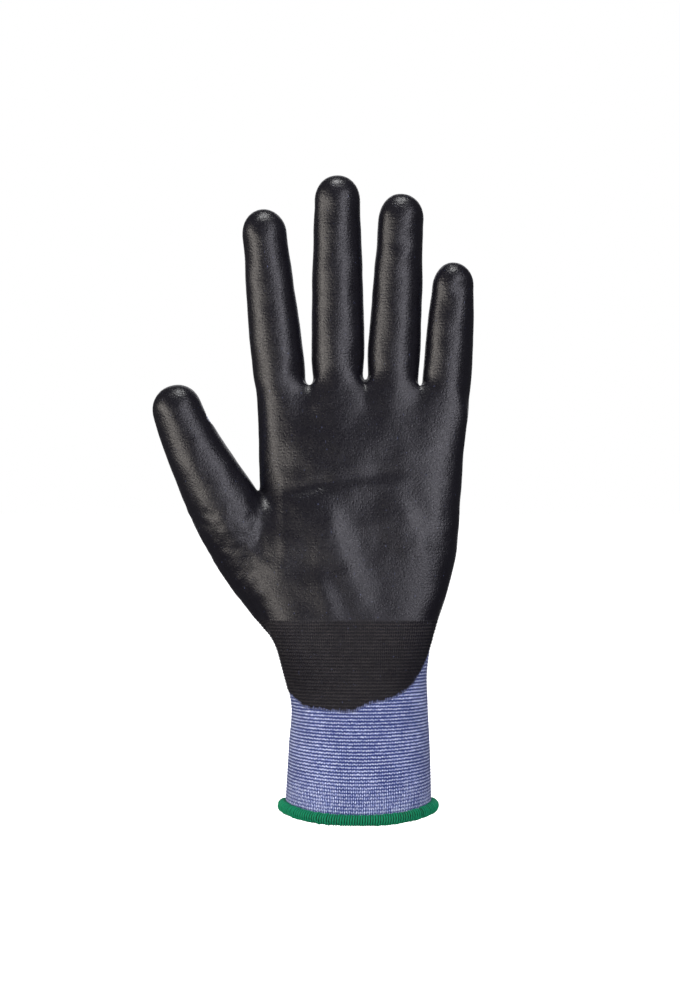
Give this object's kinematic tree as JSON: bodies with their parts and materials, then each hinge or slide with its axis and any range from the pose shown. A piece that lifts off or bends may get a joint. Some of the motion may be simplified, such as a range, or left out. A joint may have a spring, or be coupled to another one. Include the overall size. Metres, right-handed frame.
{
  "type": "cut resistant glove",
  "caption": "Left-hand cut-resistant work glove: striped seamless knit, black palm-dipped coating over the palm and fingers, elastic knit cuff and overlocked hem.",
  "frame": {"origin": "centre of the wrist opening, level with the lowest point of the overlocked hem; the glove is held up by what fills it there", "axes": "+Z from the cuff to the fingertips, palm facing -Y, thumb towards -X"},
  "size_m": [0.1224, 0.0418, 0.2503],
  "materials": {
    "knit_liner": "blue and pale lilac striped plain knit, dull",
    "pu_coating": "black polyurethane film, semi-matt with a fine grain",
    "overlock_thread": "green textured polyester thread, dull",
    "elastic_yarn": "covered rubber yarn, dull"
  },
  "bodies": {
    "cuff": {"hem_overlock": "overlock_thread", "cuff_elastic_yarn": "elastic_yarn", "cuff_liner": "knit_liner", "wrist_liner": "knit_liner", "wrist_coating": "pu_coating"},
    "palm": {"palm_liner": "knit_liner", "palm_coating": "pu_coating"},
    "thumb_proximal": {"thumb_proximal_liner": "knit_liner", "thumb_proximal_coating": "pu_coating"},
    "thumb_distal": {"thumb_distal_liner": "knit_liner", "thumb_distal_coating": "pu_coating"},
    "index_proximal": {"index_proximal_liner": "knit_liner", "index_proximal_coating": "pu_coating"},
    "index_middle": {"index_middle_liner": "knit_liner", "index_middle_coating": "pu_coating"},
    "index_distal": {"index_distal_liner": "knit_liner", "index_distal_coating": "pu_coating"},
    "middle_proximal": {"middle_proximal_liner": "knit_liner", "middle_proximal_coating": "pu_coating"},
    "middle_middle": {"middle_middle_liner": "knit_liner", "middle_middle_coating": "pu_coating"},
    "middle_distal": {"middle_distal_liner": "knit_liner", "middle_distal_coating": "pu_coating"},
    "ring_proximal": {"ring_proximal_liner": "knit_liner", "ring_proximal_coating": "pu_coating"},
    "ring_middle": {"ring_middle_liner": "knit_liner", "ring_middle_coating": "pu_coating"},
    "ring_distal": {"ring_distal_liner": "knit_liner", "ring_distal_coating": "pu_coating"},
    "little_proximal": {"little_proximal_liner": "knit_liner", "little_proximal_coating": "pu_coating"},
    "little_middle": {"little_middle_liner": "knit_liner", "little_middle_coating": "pu_coating"},
    "little_distal": {"little_distal_liner": "knit_liner", "little_distal_coating": "pu_coating"}
  },
  "joints": [
    {"name": "wrist_flex", "type": "hinge", "parent": "cuff", "child": "palm", "pos_m": [0, 0, 0.055], "axis": [1, 0, 0], "range_deg": [-45, 55], "stiffness_Nm_per_rad": 0.15, "deforming": ["wrist_liner", "wrist_coating"]},
    {"name": "thumb_root_flex", "type": "hinge", "parent": "palm", "child": "thumb_proximal", "pos_m": [-0.05055, -0.01799, 0.12969], "axis": [0.8557, 0.2749, 0.4384], "range_deg": [0, 50], "stiffness_Nm_per_rad": 0.04},
    {"name": "thumb_tip_flex", "type": "hinge", "parent": "thumb_proximal", "child": "thumb_distal", "pos_m": [-0.05975, -0.0175, 0.14713], "axis": [0.8487, 0.2752, 0.4517], "range_deg": [0, 70], "stiffness_Nm_per_rad": 0.025},
    {"name": "index_root_flex", "type": "hinge", "parent": "palm", "child": "index_proximal", "pos_m": [-0.03034, -0.00994, 0.17572], "axis": [1, 0, 0], "range_deg": [0, 80], "stiffness_Nm_per_rad": 0.04},
    {"name": "index_middle_flex", "type": "hinge", "parent": "index_proximal", "child": "index_middle", "pos_m": [-0.03257, -0.01017, 0.19509], "axis": [0.9935, 0, 0.1141], "range_deg": [0, 90], "stiffness_Nm_per_rad": 0.025},
    {"name": "index_tip_flex", "type": "hinge", "parent": "index_middle", "child": "index_distal", "pos_m": [-0.03482, -0.01076, 0.21474], "axis": [0.9935, 0, 0.1141], "range_deg": [0, 60.3], "stiffness_Nm_per_rad": 0.025},
    {"name": "middle_root_flex", "type": "hinge", "parent": "palm", "child": "middle_proximal", "pos_m": [-0.00753, -0.00971, 0.17581], "axis": [1, 0, 0], "range_deg": [0, 80], "stiffness_Nm_per_rad": 0.04},
    {"name": "middle_middle_flex", "type": "hinge", "parent": "middle_proximal", "child": "middle_middle", "pos_m": [-0.00768, -0.01038, 0.19999], "axis": [1, 0, 0.0063], "range_deg": [0, 90], "stiffness_Nm_per_rad": 0.025},
    {"name": "middle_tip_flex", "type": "hinge", "parent": "middle_middle", "child": "middle_distal", "pos_m": [-0.00783, -0.01118, 0.22357], "axis": [1, 0, 0.0063], "range_deg": [0, 60.3], "stiffness_Nm_per_rad": 0.025},
    {"name": "ring_root_flex", "type": "hinge", "parent": "palm", "child": "ring_proximal", "pos_m": [0.01365, -0.00964, 0.17528], "axis": [1, 0, 0], "range_deg": [0, 80], "stiffness_Nm_per_rad": 0.04},
    {"name": "ring_middle_flex", "type": "hinge", "parent": "ring_proximal", "child": "ring_middle", "pos_m": [0.01479, -0.01031, 0.19709], "axis": [0.9986, 0, -0.0521], "range_deg": [0, 90], "stiffness_Nm_per_rad": 0.025},
    {"name": "ring_tip_flex", "type": "hinge", "parent": "ring_middle", "child": "ring_distal", "pos_m": [0.01591, -0.01104, 0.21875], "axis": [0.9986, 0, -0.0521], "range_deg": [0, 60.3], "stiffness_Nm_per_rad": 0.025},
    {"name": "little_root_flex", "type": "hinge", "parent": "palm", "child": "little_proximal", "pos_m": [0.03431, -0.00912, 0.17265], "axis": [1, 0, 0], "range_deg": [0, 80], "stiffness_Nm_per_rad": 0.04},
    {"name": "little_middle_flex", "type": "hinge", "parent": "little_proximal", "child": "little_middle", "pos_m": [0.03515, -0.00962, 0.18549], "axis": [0.9978, 0, -0.0657], "range_deg": [0, 90], "stiffness_Nm_per_rad": 0.025},
    {"name": "little_tip_flex", "type": "hinge", "parent": "little_middle", "child": "little_distal", "pos_m": [0.03609, -0.01029, 0.1998], "axis": [0.9978, 0, -0.0657], "range_deg": [0, 60.3], "stiffness_Nm_per_rad": 0.025}
  ],
  "couplings": [
    {"joint": "index_tip_flex", "follows": "index_middle_flex", "ratio": 0.67},
    {"joint": "middle_tip_flex", "follows": "middle_middle_flex", "ratio": 0.67},
    {"joint": "ring_tip_flex", "follows": "ring_middle_flex", "ratio": 0.67},
    {"joint": "little_tip_flex", "follows": "little_middle_flex", "ratio": 0.67}
  ]
}
